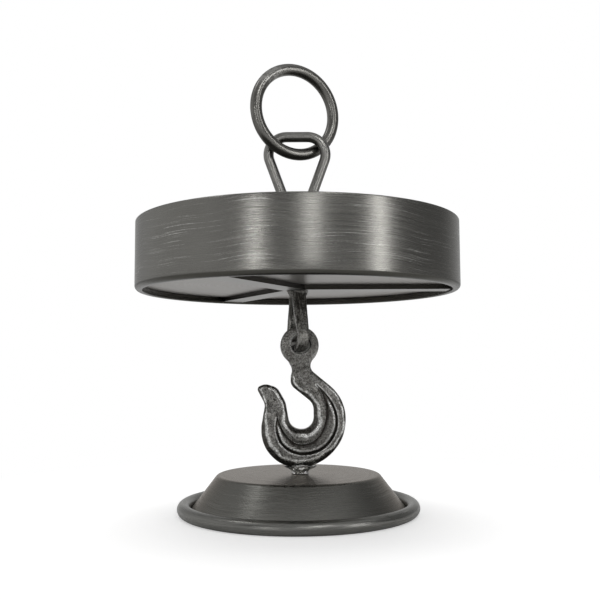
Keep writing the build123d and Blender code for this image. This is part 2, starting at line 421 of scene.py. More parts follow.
def spunSteel(name, look):
    # satin steel with streaks round the axis: the band, the plates, the spokes, the dish and the hoop
    material, tree = newMaterial(name)
    streaks = useGroup(tree, spunStreaks, look)
    wear = useGroup(tree, edgeWear, {"width": look["edgeWidth"], "breakUp": 0.7})
    grain = useGroup(tree, castGrain, {"grainSize": look["grainSize"], "pitSize": look["grainSize"] * 3})
    base = mixColour(tree, mapRange(tree, streaks["Fine"], 0.3, 0.7), look["dark"], look["light"])
    # the grain shows most where the finish is rubbed thin
    patch = mapRange(tree, streaks["Cloud"], 0.42, 0.62, 0.35, 1.0)
    speck = mathNode(tree, "MULTIPLY", grain["Speckle"], patch)
    speck = mathNode(tree, "MULTIPLY", speck, look["speckle"], clamp=True)
    base = mixColour(tree, speck, base, look["silver"])
    base = mixColour(tree, mapRange(tree, streaks["Cloud"], 0.35, 0.65), base, look["cloud"])
    silver = mathNode(tree, "MULTIPLY", streaks["Streak"], look["streakShare"], clamp=True)
    base = mixColour(tree, silver, base, look["silver"])
    rim = mathNode(tree, "MULTIPLY", wear["Mask"], look["edgeShare"], clamp=True)
    base = mixColour(tree, rim, base, look["silver"])
    if "innerTone" in look:
        # painted shade inside the hem, where the band meets the bottom plate
        flat = vectorMath(tree, "MULTIPLY", {0: objectPlace(tree), 1: (1, 1, 0)})
        reach = vectorMath(tree, "LENGTH", {0: flat}, "Value")
        inside = mapRange(tree, reach, look["innerRadius"], look["innerRadius"] - 0.0012)
        base = mixColour(tree, inside, base, look["innerTone"])
    if "underTone" in look:
        # painted shade on the faces that look down
        base = mixColour(tree, mapRange(tree, upOf(tree), 0.0, -0.3), base, look["underTone"])
    if "sideTone" in look:
        # painted shade on the upright sides
        level = mathNode(tree, "ABSOLUTE", upOf(tree, "True Normal"))
        base = mixColour(tree, mapRange(tree, level, 0.3, 0.8, 1.0, 0.0), base, look["sideTone"])
    # a streak is a scratch, rougher than the steel beside it
    rough = mapRange(tree, streaks["Fine"], 0.25, 0.75, look["rough"] - 0.05, look["rough"] + 0.07)
    rough = mathNode(tree, "MULTIPLY_ADD", silver, 0.14, rough)
    grainBump = look.get("grainBump", look["bump"] * 1.6)
    closeMaterial(tree, look, base, rough, [
        (streaks["Fine"], look["bump"], 0.0002), (grain["Grain"], grainBump, 0.0001),
    ])
    return material


def barSteel(name, look):
    # drawn bar, rubbed bright along its length
    material, tree = newMaterial(name)
    rub = useGroup(tree, barRub, look)
    grain = useGroup(tree, castGrain, {"grainSize": 0.0012, "pitSize": 0.003})
    place = objectPlace(tree)
    base = mixColour(tree, mapRange(tree, rub["Lines"], 0.3, 0.7), look["dark"], look["light"])
    blotch = mapRange(tree, noiseTexture(tree, place, 90.0, 3.0, 0.6), 0.4, 0.65, 0.0, look["blotch"])
    base = mixColour(tree, blotch, base, look["dark"])
    # painted shade on the underside and the top, which leaves a lighter line between them
    below = mapRange(tree, upOf(tree), -0.1, -0.65, 0.0, look["under"])
    above = mapRange(tree, upOf(tree), 0.3, 0.8, 0.0, look["over"])
    base = mixColour(tree, mathNode(tree, "MAXIMUM", below, above), base, look["coat"])
    speck = mathNode(tree, "MULTIPLY", grain["Speckle"], look["speckle"], clamp=True)
    base = mixColour(tree, speck, base, look["silver"])
    worn = mathNode(tree, "MULTIPLY", rub["Worn"], look["wornShare"], clamp=True)
    if "scuff" in look:
        # one scuffed patch: its middle, its radius and how bright it is
        middle, radius, share = look["scuff"]
        far = vectorMath(tree, "DISTANCE", {0: place, 1: middle}, "Value")
        near = mapRange(tree, far, radius * 0.35, radius, 1.0, 0.0)
        patchy = mapRange(tree, noiseTexture(tree, place, 420.0), 0.35, 0.65, 0.3, 1.0)
        near = mathNode(tree, "MULTIPLY", mathNode(tree, "MULTIPLY", near, patchy), share)
        worn = mathNode(tree, "MAXIMUM", worn, near)
    base = mixColour(tree, worn, base, look["silver"])
    rough = mapRange(tree, rub["Lines"], 0.25, 0.75, look["rough"] - 0.02, look["rough"] + 0.03)
    closeMaterial(tree, look, base, rough, [
        (rub["Lines"], look["bump"], 0.0002), (grain["Grain"], look["bump"] * 0.6, 0.0002),
    ])
    return material


def castSteel(name, look):
    # grainy skin: patina and painted shade darken the hollows and bevels, and rubbing and painted highlights
    # lighten the ridges
    material, tree = newMaterial(name)
    grain = useGroup(tree, castGrain, look)
    ridge = addNode(tree, "Attribute", attribute_name="edgeRub").outputs["Fac"]
    hollow = addNode(tree, "Attribute", attribute_name="hollow").outputs["Fac"]
    base = mixColour(tree, mapRange(tree, grain["Grain"], 0.32, 0.68), look["dark"], look["light"])
    speck = mathNode(tree, "MULTIPLY", grain["Speckle"], look["speckle"], clamp=True)
    base = mixColour(tree, speck, base, look["silver"])
    # the dark coating lies in blotches
    blotch = noiseTexture(tree, objectPlace(tree), 160.0, 3.0, 0.6)
    base = mixColour(tree, mapRange(tree, blotch, 0.42, 0.66, 0.0, look["mottle"]), base, look["deep"])
    # patina in the hollows and painted shade on bevels and slopes, as the hollow mask gives
    shadeAndPatina = mapRange(tree, hollow, *look["hollow"], 0.0, look["hollowShare"])
    base = mixColour(tree, shadeAndPatina, base, look["deep"])
    # rubbed wear and painted highlights, as the ridge mask gives
    broken = mapRange(tree, grain["Grain"], 0.25, 0.6, 0.35, 1.0)
    rubAndHighlight = mathNode(tree, "MULTIPLY", mapRange(tree, ridge, *look["ridge"]), broken)
    rubAndHighlight = mathNode(tree, "MULTIPLY", rubAndHighlight, look["ridgeShare"], clamp=True)
    base = mixColour(tree, rubAndHighlight, base, look["silver"])
    rough = mapRange(tree, grain["Grain"], 0.3, 0.7, look["rough"] - 0.06, look["rough"] + 0.1)
    rough = mathNode(tree, "MULTIPLY_ADD", rubAndHighlight, -0.12, rough)
    closeMaterial(tree, look, base, rough, [
        (grain["Grain"], look["bump"], 0.0003), (grain["Pit"], look["bump"] * 0.5, 0.0003),
    ])
    return material


def paint(piece, material):
    piece.data.materials.clear()
    piece.data.materials.append(material)
    piece.data.polygons.foreach_set("material_index", [0] * len(piece.data.polygons))


# drum band: a rolled strip with its lower edge turned in as a hem

drumBand = {
    "wall": 1.8, "hemWidth": 4.7, "hemHeight": 4.3, "hemRound": 3.0, "hemInnerRound": 0.5,
    "rimRound": 0.8, "wallStep": 6, "turns": 256,
    "look": {
        "radius": 0.1, "streakLength": 0.055, "streakHeight": 0.00028, "wander": 0.012,
        "amount": 0.45, "edgeWidth": 0.0008, "edgeShare": 0.45, "dark": (0.222, 0.219, 0.203),
        "light": (0.278, 0.272, 0.253), "cloud": (0.244, 0.239, 0.222), "silver": (0.7, 0.695, 0.67),
        "streakShare": 1.0, "grainSize": 0.0005, "grainBump": 0.26, "speckle": 0.5, "rough": 0.25,
        "bump": 0.05, "underTone": (0.07, 0.068, 0.06), "innerRadius": 0.0975,
        "innerTone": (0.06, 0.057, 0.05),
    },
}


def makeDrumBand(settings):
    low, high = boxOf("drum_band")
    outer = high.x
    inner = outer - settings["wall"]
    hem = outer - settings["hemWidth"]
    hemTop = low.z + settings["hemHeight"]
    rim = settings["rimRound"]
    profile = filletPath([
        (inner, hemTop, 0), (hem, hemTop, settings["hemInnerRound"]), (hem, low.z, rim),
        (outer, low.z, settings["hemRound"]), (outer, high.z, rim), (inner, high.z, rim / 2),
    ], steps=7)
    # rows between the corners keep the long wall even
    wall = []
    for a, b in zip(profile, profile[1:] + profile[:1]):
        wall.append(a)
        parts = int(math.dist(a, b) / settings["wallStep"])
        wall += [tuple(np.array(a) + (np.array(b) - a) * k / (parts + 1)) for k in range(1, parts + 1)]
    points, faces = latheFaces(wall, settings["turns"])
    piece = addPiece("drumBand", points, faces, "stand", ["drum_band"])
    paint(piece, spunSteel("bandSteel", settings["look"]))


makeDrumBand(drumBand)
print("drum band made")

# plates and spokes keep their CAD solids

plates = {
    "lower": {
        "radius": 0.06, "streakLength": 0.03, "streakHeight": 0.0012, "wander": 0.004,
        "amount": 0.1, "edgeWidth": 0.0005, "edgeShare": 0.3, "dark": (0.28, 0.268, 0.252),
        "light": (0.34, 0.326, 0.307), "cloud": (0.31, 0.297, 0.28), "silver": (0.42, 0.42, 0.41),
        "streakShare": 0.2, "grainSize": 0.0008, "speckle": 0.05, "rough": 0.36, "bump": 0.06,
    },
    "upper": {
        "radius": 0.06, "streakLength": 0.04, "streakHeight": 0.0006, "wander": 0.006,
        "amount": 0.4, "edgeWidth": 0.0006, "edgeShare": 0.4, "dark": (0.20, 0.199, 0.188),
        "light": (0.30, 0.299, 0.285), "cloud": (0.25, 0.249, 0.236), "silver": (0.6, 0.6, 0.58),
        "streakShare": 0.4, "grainSize": 0.0006, "speckle": 0.2, "rough": 0.4, "bump": 0.2,
    },
    "spoke": {
        "radius": 0.06, "streakLength": 0.04, "streakHeight": 0.0006, "wander": 0.006,
        "amount": 0.3, "edgeWidth": 0.0004, "edgeShare": 0.5, "dark": (0.29, 0.286, 0.275),
        "light": (0.37, 0.365, 0.352), "cloud": (0.33, 0.326, 0.314), "silver": (0.5, 0.5, 0.48),
        "streakShare": 0.3, "grainSize": 0.0006, "speckle": 0.2, "rough": 0.38, "bump": 0.1,
        "sideTone": (0.05, 0.047, 0.042),
    },
    "spokeEdge": 0.35,
}


def finishPlates(settings):
    for node, look in (("drum_bottom_plate", "lower"), ("drum_top_plate", "upper")):
        paint(nodes[node], spunSteel(look + "PlateSteel", settings[look]))
    steel = spunSteel("spokeSteel", settings["spoke"])
    for node in ("spoke_right", "spoke_rear", "spoke_front"):
        paint(nodes[node], steel)
        edge = nodes[node].modifiers.new("brokenEdge", "BEVEL")
        edge.width = settings["spokeEdge"] * mm
        edge.segments = 2
        edge.limit_method = "ANGLE"


finishPlates(plates)
print("plates and spokes finished")

# base: a spun dish nested in a hoop of round bar

baseHoop = {
    "wire": 8.0, "turns": 256, "sides": 32,
    "look": {
        "radius": 0.07, "streakLength": 0.03, "streakHeight": 0.0004, "wander": 0.002,
        "amount": 0.6, "edgeWidth": 0.0005, "edgeShare": 0.0, "dark": (0.17, 0.168, 0.157),
        "light": (0.32, 0.318, 0.300), "cloud": (0.24, 0.238, 0.224), "silver": (0.65, 0.65, 0.62),
        "streakShare": 0.45, "grainSize": 0.0006, "speckle": 0.35, "rough": 0.30, "bump": 0.2,
    },
}
baseDish = {
    "topRadius": 49.6, "wall": 2.0, "shoulder": 3.0, "footLift": 0.6, "nest": 0.15, "turns": 256,
    "look": {
        "radius": 0.06, "streakLength": 0.04, "streakHeight": 0.0003, "wander": 0.003,
        "amount": 0.4, "edgeWidth": 0.0009, "edgeShare": 0.2, "dark": (0.152, 0.15, 0.139),
        "light": (0.25, 0.248, 0.23), "cloud": (0.203, 0.201, 0.187), "silver": (0.5, 0.495, 0.475),
        "streakShare": 0.3, "grainSize": 0.0005, "speckle": 0.15, "rough": 0.27, "bump": 0.2,
        "edgeTint": (0.93, 0.88, 0.84),
    },
}


def makeBase(hoop, dish):
    low, high = boxOf("base_hoop")
    half = hoop["wire"] / 2
    middle = (high.x - low.x) / 2 - half
    points, faces = latheFaces(
        [(middle + s, half + n) for s, n in circleSection(half, hoop["sides"])], hoop["turns"]
    )
    piece = addPiece("baseHoop", points, faces, "stand", ["base_hoop"])
    paint(piece, spunSteel("hoopSteel", hoop["look"]))
    top = boxOf("base_dish")[1].z
    across, down = middle - dish["topRadius"], half - top
    slope = math.atan2(down, across) - math.asin((half - dish["nest"]) / math.hypot(across, down))

    def sideRadius(z, inset):
        return dish["topRadius"] + (top - z) / -math.tan(slope) - inset / math.sin(-slope)

    foot, roof = dish["footLift"], top - dish["wall"]
    outside = filletPath([
        (0, top, 0), (dish["topRadius"], top, dish["shoulder"]), (sideRadius(foot, 0), foot, 0),
    ], steps=12)
    inside = filletPath([
        (sideRadius(foot, dish["wall"]), foot, 0),
        (sideRadius(roof, dish["wall"]), roof, max(dish["shoulder"] - dish["wall"], 0.5)), (0, roof, 0),
    ], steps=6)
    points, faces = latheFaces(outside + inside, dish["turns"])
    piece = addPiece("baseDish", points, faces, "stand", ["base_dish"])
    paint(piece, spunSteel("dishSteel", dish["look"]))


makeBase(baseHoop, baseDish)
print("base made")

# hanger loop and suspension ring, bent from round bar

hangerLoop = {
    "wire": 6.5, "lean": 20.0, "shoulder": 11.4, "footGap": 0.8, "spacing": 0.7,
    "look": {
        "patchLength": 11.0, "lineWidth": 0.5, "amount": 0.4, "wornShare": 0.25,
        "dark": (0.28, 0.276, 0.26), "light": (0.36, 0.354, 0.334), "silver": (0.7, 0.695, 0.67),
        "rough": 0.28, "bump": 0.02, "blotch": 0.25, "speckle": 0.06, "under": 0.7, "over": 0.3,
        "coat": (0.06, 0.058, 0.052),
    },
}
suspensionRing = {
    "wire": 7.4, "turned": 27.2, "spacing": 0.7,
    # the scuff's middle across and up, in radii of the ring, its radius in metres and its share
    "scuffAt": (0.62, 0.78), "scuffRadius": 0.014, "scuffShare": 0.4,
    "look": {
        "patchLength": 9.0, "lineWidth": 0.6, "amount": 0.35, "wornShare": 0.2,
        "dark": (0.2, 0.196, 0.183), "light": (0.26, 0.254, 0.238), "silver": (0.7, 0.695, 0.67),
        "rough": 0.28, "bump": 0.015, "blotch": 0.4, "speckle": 0.04, "under": 0.8, "over": 0.6,
        "coat": (0.05, 0.048, 0.042),
    },
}


def makeHangerLoop(settings):
    low, high = boxOf("hanger_loop")
    lean = math.radians(settings["lean"])
    half = settings["wire"] / 2
    footBend = half + settings["footGap"] / 2
    barZ = high.z - half
    pointZ = low.z + half + footBend - footBend / math.sin(lean)
    cornerX = (barZ - pointZ) * math.tan(lean)
    path = filletPath([
        (0, barZ, 0), (cornerX, barZ, settings["shoulder"]), (0, pointZ, footBend),
        (-cornerX, barZ, settings["shoulder"]),
    ], steps=24)
    path = [Vector((x, 0, z)) for x, z in evenPath(path, settings["spacing"])]
    piece = addBar("hangerLoop", path, (0, 1, 0), circleSection(half), "stand",
                   ["hanger_loop"])
    paint(piece, barSteel("loopSteel", settings["look"]))


def makeSuspensionRing(settings):
    low, high = boxOf("suspension_ring")
    centre = (low + high) / 2
    half = settings["wire"] / 2
    radius = (high.z - low.z) / 2 - half
    turn = math.radians(settings["turned"])
    side = Vector((math.cos(turn), math.sin(turn), 0))
    count = round(2 * math.pi * radius / settings["spacing"])
    path = []
    for k in range(count):
        # the line starts at the bottom, out of sight in the loop
        angle = 2 * math.pi * k / count - math.pi / 2
        path.append(centre + side * radius * math.cos(angle) + Vector((0, 0, radius * math.sin(angle))))
    across, up = settings["scuffAt"]
    scuff = centre - side * radius * across + Vector((0, 0, radius * up)) + Vector((0, -half, 0))
    scuff = (tuple(scuff * mm), settings["scuffRadius"], settings["scuffShare"])
    piece = addBar("suspensionRing", path, side.cross(Vector((0, 0, 1))), circleSection(half), "ring",
                   ["suspension_ring"])
    paint(piece, barSteel("ringSteel", {**settings["look"], "scuff": scuff}))


makeHangerLoop(hangerLoop)
makeSuspensionRing(suspensionRing)
print("loop and ring made")

# cast hook: its solid worked over as the casting is, with rounded edges and a sunk crescent

castHook = {
    "voxel": 0.36, "shift": 1.0, "thick": 11.0, "grain": 0.06, "neck": (50, 68), "eyeThick": 6.0,
    "waver": 0.9, "wearReach": 10, "ridgeGain": 0.19, "hollowGain": 0.14,
    # the eye's bore is closed in: its middle, between which radii and by how much
    "eyeMiddle": 74.4, "boreReach": (10.2, 7.0), "boreFill": 2.1,
    # edges rounded off by hand: the line, then the bevel's (width, depth) at the lower and upper height,
    # how much wider it gets to the right and where it fades out
    "throat": [(-19.0, 50.6, 0), (-14.0, 48.6, 6.0), (-8.7, 39.4, 12.0), (-5.9, 23.0, 7.4), (8.5, 23.0, 7.4),
               (8.5, 38.6, 8.0), (-5.6, 49.9, 6.0), (-5.6, 55.6, 0)],
    "throatBevel": {"right": 0.5, "fade": (58, 53), "heights": (26, 40),
                    "low": (3.0, 2.3), "high": (1.9, 1.5)},
    "back": [(5.9, 60.2, 0), (28.2, 41.7, 26.0), (28.2, 17.3, 28.0), (10.9, 0.0, 28.0), (4.0, 0.0, 0)],
    "backBevel": {"right": 0, "fade": (57, 45), "heights": (6, 20), "low": (3.4, 2.2), "high": (1.3, 1.1)},
    "front": [(6.0, 0.0, 0), (-10.5, 0.0, 22.0), (-23.7, 13.2, 22.0), (-23.7, 25.0, 12.0), (-21.3, 38.4, 6.0),
              (-26.8, 48.6, 2.2), (-21.5, 50.9, 6.0), (-19.0, 50.0, 0)],
    "frontBevel": {"right": 0, "fade": (99, 98), "heights": (14, 38), "low": (4.0, 2.4), "high": (1.5, 1.2)},
    "groove": (1.3, 1.0),
    "panelOuter": [(10.4, 50.2), (17.8, 42.5), (22.6, 33.0), (22.3, 22.0), (14.5, 11.3), (1.0, 7.7),
                   (-10.6, 12.9), (-14.8, 24.0), (-13.6, 31.2)],
    "panelInner": [(-13.6, 31.2), (-9.4, 21.5), (-1.4, 14.4), (8.4, 16.3), (15.2, 26.8), (15.2, 40.0),
                   (10.4, 50.2)],
    "look": {
        "grainSize": 0.0010, "pitSize": 0.0022, "dark": (0.045, 0.044, 0.040),
        "light": (0.336, 0.326, 0.304), "deep": (0.034, 0.029, 0.024), "silver": (0.85, 0.85, 0.83),
        "speckle": 0.6, "hollow": (0.02, 0.13), "hollowShare": 0.88, "ridge": (0.03, 0.16),
        "ridgeShare": 0.85, "rough": 0.33, "bump": 1.0, "mottle": 0.55,
    },
}


def curveThrough(points, steps=14):
    # a smooth line through the points
    line = []
    ends = [2 * Vector(points[0]) - Vector(points[1]), 2 * Vector(points[-1]) - Vector(points[-2])]
    knots = [ends[0]] + [Vector(p) for p in points] + [ends[1]]
    for a, b, c, d in zip(knots, knots[1:], knots[2:], knots[3:]):
        for k in range(steps):
            t = k / steps
            line.append(0.5 * (2 * b + (c - a) * t + (2 * a - 5 * b + 4 * c - d) * t**2
                               + (3 * b - a - 3 * c + d) * t**3))
    line.append(Vector(points[-1]))
    return np.array([tuple(p) for p in line])


def distanceTo(points, line):
    best = np.full(len(points), 1e9)
    for a, b in zip(line, line[1:]):
        way = b - a
        share = np.clip(((points - a) @ way) / max(way @ way, 1e-9), 0, 1)
        best = np.minimum(best, np.linalg.norm(points - a - share[:, None] * way, axis=1))
    return best


def insideOf(points, loop):
    odd = np.zeros(len(points), bool)
    for (ax, ay), (bx, by) in zip(loop, np.roll(loop, -1, axis=0)):
        if ay == by:
            continue
        crosses = (points[:, 1] < ay) != (points[:, 1] < by)
        odd ^= crosses & (points[:, 0] < (bx - ax) * (points[:, 1] - ay) / (by - ay) + ax)
    return odd


def smoothStep(values, low, high):
    t = np.clip((values - low) / (high - low), 0, 1)
    return t * t * (3 - 2 * t)


def copyWorked(node, voxel, name):
    # an even closed skin over a CAD solid, ready to be worked
    work = addObject(name, nodes[node].data.copy())
    work.modifiers.new("weld", "WELD").merge_threshold = 1e-6
    skin = work.modifiers.new("skin", "REMESH")
    skin.mode = "VOXEL"
    skin.voxel_size = voxel * mm
    skin.use_smooth_shade = True
    bpy.context.view_layer.update()
    made = bpy.data.meshes.new_from_object(work.evaluated_get(bpy.context.evaluated_depsgraph_get()))
    made.name = name
    work.modifiers.clear()
    work.data = made
    return work


def makeHook(settings):
    piece = copyWorked("hook", settings["voxel"], "castHook")
    heel = boxOf("hook")[0].z
    co, normal, edges = meshArrays(piece.data)
    flat = np.stack([co[:, 0] - settings["shift"], co[:, 2] - heel], 1)
    outer = curveThrough(settings["panelOuter"])
    inner = curveThrough(settings["panelInner"])
    crescent = np.concatenate([outer, inner[1:-1]])
    toOuter, toInner = distanceTo(flat, outer), distanceTo(flat, inner)
    inPanel = insideOf(flat, crescent)
    # the neck thins evenly towards the eye
    rows = np.round(flat[:, 1] / 0.5).astype(int)
    deepest = np.zeros(rows.max() + 1)
    np.maximum.at(deepest, rows, np.abs(co[:, 1]))
    slim = smoothStep(flat[:, 1], *settings["neck"])
    wanted = settings["thick"] / 2 + (settings["eyeThick"] - settings["thick"]) / 2 * slim
    co[:, 1] *= np.minimum(wanted / deepest[rows], 1)
    # the weld fills the eye's bore from its lower left, mirrored at the back
    way = flat - np.array([0, settings["eyeMiddle"]])
    reach = np.maximum(np.linalg.norm(way, axis=1), 0.1)
    way /= reach[:, None]
    fill = np.clip(-way[:, 1], 0, 1) + np.clip(way[:, 0] * np.tanh(co[:, 1]), 0, 1) * 0.9
    fill = np.clip(fill, 0, 1) * smoothStep(reach, *settings["boreReach"]) * settings["boreFill"]
    co[:, [0, 2]] -= way * fill[:, None]
    side = np.sign(co[:, 1])
    depth = np.abs(co[:, 1])
    face = smoothStep(np.abs(normal[:, 1]), 0.35, 0.85) * smoothStep(depth, 2.5, 3.6)
    ridge, shadeAndPatina = np.zeros(len(co)), np.zeros(len(co))
    flat3 = np.insert(flat, 1, 0, axis=1)
    waver = noiseAt(flat3, 7.0, 51.0)
    for edge in ("throat", "back", "front"):
        bevel = settings[edge + "Bevel"]
        up = smoothStep(flat[:, 1], *bevel["heights"])
        wide, deep = (low + (high - low) * up for low, high in zip(bevel["low"], bevel["high"]))
        fade = smoothStep(flat[:, 1], *bevel["fade"])
        wide = wide * (1 + bevel["right"] * smoothStep(flat[:, 0], -1, 5))
        line = np.array([tuple(p) for p in filletPath(settings[edge], steps=16)])
        # the bevel's width wavers as hand work does
        far = distanceTo(flat, line) + waver * settings["waver"]
        share = np.clip(far / wide, 0, 1)
        level = wanted - deep * (1 - share)**1.4 * fade
        cut = (far < wide) & (depth > level)
        depth = np.where(cut, np.maximum(level, 1.5), depth)
        front = depth > 2.0
        # a painted highlight where each bevel meets the face, and painted shade on the bevel itself
        ridge = np.maximum(ridge, np.exp(-((far - wide) / (0.3 + wide * 0.24))**2) * front * fade)
        shadeAndPatina = np.maximum(shadeAndPatina, smoothStep(share, 1.0, 0.6) * front * fade)
    # the crescent rises from its inner line to a lip, then drops into a groove
    width = toInner + toOuter
    grooveWide, grooveDeep = settings["groove"]
    ends = smoothStep(width, 1.0, 5.0)
    rise = smoothStep(toInner / np.maximum(width, 0.1), 0.15, 0.8) * ends
    panel = -0.9 * np.exp(-(toInner / grooveWide / 1.3)**2) * ends - 0.2 + 1.1 * rise
    panel -= (grooveDeep + 0.8 * rise) * np.exp(-(toOuter / grooveWide)**2) * ends
    depth = depth + np.where(inPanel, panel, -0.7 * smoothStep(toInner, 2.6, 0.0)) * face
    # rubbing and a painted highlight along the crescent's lip and along the outer rim
    lip = np.exp(-((toOuter - grooveWide * 1.7) / 0.45)**2) * inPanel * ends
    rim = np.exp(-((toOuter - 0.6) / 0.5)**2) * ~inPanel * (depth > 3)
    ridge = np.maximum(ridge, np.maximum(lip * 0.7, rim * 0.7))
    # the rubbing and painted highlight come and go along every ridge
    ridge *= np.clip(0.9 + 1.0 * noiseAt(flat3, 6.0, 77.0) + 0.6 * noiseAt(flat3, 1.6, 5.0), 0.1, 1)
    groove = np.maximum(np.exp(-(toInner / 2.3)**2), np.exp(-(toOuter / 1.6)**2) * 0.75) * inPanel
    # the strip along the crescent's inner line falls away into it, and painted shade darkens that slope
    bead = smoothStep(toInner, 2.6, 0.2) * ~inPanel * (depth > 3)
    shadeAndPatina = np.maximum(np.maximum(shadeAndPatina * 0.65, groove), bead * 0.4)
    # darker towards the right side, away from the ridges
    shadeAndPatina = np.maximum(shadeAndPatina, 0.3 * smoothStep(flat[:, 0], 12, 20) * (ridge < 0.3))
    shadeAndPatina = np.maximum(shadeAndPatina, 0.42 * inPanel * face * (lip < 0.3))
    co[:, 1] = side * depth
    co = neighbourMean(co, edges, 2)
    rough = noiseAt(co, 1.3, 7.0) * 0.6 + noiseAt(co, 0.7, 31.0) * 0.4 + noiseAt(co, 5.0, 3.0) * 1.5
    co += normal * (rough * settings["grain"] - settings["grain"])[:, None]
    storeShape(piece, co)
    storeWear(piece, settings["wearReach"], ridge * settings["ridgeGain"], shadeAndPatina * settings["hollowGain"])
    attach(piece, "stand")
    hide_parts("hook")
    paint(piece, castSteel("castIron", settings["look"]))
    print("hook has", len(piece.data.vertices), "points")


makeHook(castHook)

# strap link through the hook's eye

strapLink = {
    "voxel": 0.3, "grain": 0.09, "wearReach": 8, "rubGain": 0.15, "hubHeights": (108, 128),
    # the front leg was hammered wider towards the hub
    "spread": 1.5, "spreadHeights": (104, 128),
    "look": {
        "grainSize": 0.0012, "pitSize": 0.003, "dark": (0.12, 0.117, 0.106),
        "light": (0.32, 0.314, 0.294), "deep": (0.03, 0.028, 0.024), "silver": (0.72, 0.71, 0.68),
        "speckle": 0.3, "hollow": (0.01, 0.14), "hollowShare": 0.85, "ridge": (0.03, 0.18),
        "ridgeShare": 0.6, "rough": 0.30, "bump": 0.6, "mottle": 0.4,
    },
}


def makeLink(settings):
    piece = copyWorked("link", settings["voxel"], "strapLink")
    co, normal, edges = meshArrays(piece.data)
    rough = noiseAt(co, 3.0, 11.0) + noiseAt(co, 1.1, 5.0) * 0.5
    co += normal * (rough * settings["grain"] - settings["grain"])[:, None]
    leg = smoothStep(-co[:, 1], 0.5, 2.0) * smoothStep(co[:, 2], *settings["spreadHeights"])
    leg *= smoothStep(-normal[:, 0], 0.0, 0.6)
    co[:, 0] -= leg * settings["spread"]
    storeShape(piece, co)
    # painted shade towards the hub, between the legs and on the front leg's sides, and darker drawn lines;
    # rubbed along the edges, with a painted highlight along the front leg's left edge
    hub = smoothStep(co[:, 2], *settings["hubHeights"])
    between = smoothStep(np.abs(co[:, 1]), 3.0, 1.0) * (co[:, 2] > settings["spreadHeights"][0])
    lines = noiseAt(co * np.array([1, 1, 0.08]), 0.9, 63.0)
    corner = np.abs(np.einsum("ij,ij->i", normal, neighbourMean(normal, edges, 6)) - 1)
    rubAndHighlight = smoothStep(neighbourMean(corner, edges, 2), 0.05, 0.25) * (1 - hub * 0.7)
    # a painted highlight runs along the front leg's left edge
    rows = np.round(co[:, 2] / 0.6).astype(int)
    leftEnd = np.full(rows.max() + 1, 99.0)
    front = co[:, 1] < -3
    np.minimum.at(leftEnd, rows[front], co[front, 0])
    rubAndHighlight = np.maximum(rubAndHighlight, np.exp(-((co[:, 0] - leftEnd[rows] - 0.5) / 0.5)**2) * front)
    sides = smoothStep(np.abs(normal[:, 0]), 0.4, 0.85) * front
    coatAndShade = hub * 0.1 + between * 0.12 + sides * 0.09 + lines * 0.16
    storeWear(piece, settings["wearReach"], rubAndHighlight * settings["rubGain"], np.clip(coatAndShade, 0, 0.2))
    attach(piece, "stand")
    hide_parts("link")
    paint(piece, castSteel("linkSteel", settings["look"]))


makeLink(strapLink)
print("hook and link made")

# weld beads, each lumpy in its own way

welds = {
    "wearReach": 8,
    "foot": {"node": "foot_weld", "voxel": 0.25, "lump": 1.1, "size": 3.2, "seed": 3.0, "look": "bright",
             "flare": 0.5, "flareHeights": (24.5, 28.6)},
    "hub": {"node": "hub_weld", "voxel": 0.3, "lump": 1.0, "size": 2.4, "seed": 17.0, "look": "burnt"},
    "eye": {"node": "eye_weld", "voxel": 0.25, "lump": 0.3, "size": 2.0, "seed": 23.0, "look": "dull"},
    "loop": {"node": "loop_weld", "voxel": 0.3, "lump": 0.6, "size": 2.8, "seed": 41.0, "look": "dull"},
    "bright": {
        "grainSize": 0.0016, "pitSize": 0.003, "dark": (0.5, 0.495, 0.483),
        "light": (0.85, 0.845, 0.83), "deep": (0.05, 0.047, 0.042), "silver": (0.85, 0.85, 0.83),
        "speckle": 0.15, "hollow": (0.03, 0.22), "hollowShare": 0.65, "ridge": (0.03, 0.2),
        "ridgeShare": 0.85, "rough": 0.26, "bump": 0.45, "mottle": 0.1,
    },
    "burnt": {
        "grainSize": 0.0012, "pitSize": 0.003, "dark": (0.05, 0.048, 0.043),
        "light": (0.20, 0.194, 0.18), "deep": (0.02, 0.019, 0.016), "silver": (0.6, 0.59, 0.56),
        "speckle": 0.3, "hollow": (0.03, 0.2), "hollowShare": 0.85, "ridge": (0.05, 0.3),
        "ridgeShare": 0.5, "rough": 0.3, "bump": 0.5, "mottle": 0.4,
    },
    "dull": {
        "metallic": 0.9, "grainSize": 0.0014, "pitSize": 0.003, "dark": (0.12, 0.118, 0.11),
        "light": (0.24, 0.238, 0.225), "deep": (0.04, 0.038, 0.034), "silver": (0.6, 0.6, 0.58),
        "speckle": 0.15, "hollow": (0.05, 0.3), "hollowShare": 0.8, "ridge": (0.05, 0.25),
        "ridgeShare": 0.6, "rough": 0.34, "bump": 0.4, "mottle": 0.3,
    },
}


def makeWelds(settings):
    for name in ("foot", "hub", "eye", "loop"):
        weld = settings[name]
        piece = copyWorked(weld["node"], weld["voxel"], name + "Bead")
        low, high = boxOf(weld["node"])
        co, normal, edges = meshArrays(piece.data)
        lumps = noiseAt(co, weld["size"], weld["seed"]) - 0.35
        lumps += noiseAt(co, weld["size"] * 0.4, weld["seed"] + 9) * 0.35
        co += normal * (lumps * weld["lump"])[:, None]
        co = np.clip(neighbourMean(co, edges, 2), low, high)
        middle = (np.array(low) + np.array(high)) / 2
        if "flare" in weld:
            # it spreads where it climbs the heel
            spread = smoothStep(co[:, 2], *weld["flareHeights"]) * weld["flare"]
            co[:, 0] += (co[:, 0] - middle[0]) * spread
        storeShape(piece, co)
        storeWear(piece, settings["wearReach"])
        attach(piece, "stand")
        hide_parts(weld["node"])
        paint(piece, castSteel(name + "BeadSteel", settings[weld["look"]]))


makeWelds(welds)
print("weld beads made")

# stage: white table and backdrop, soft boxes, camera

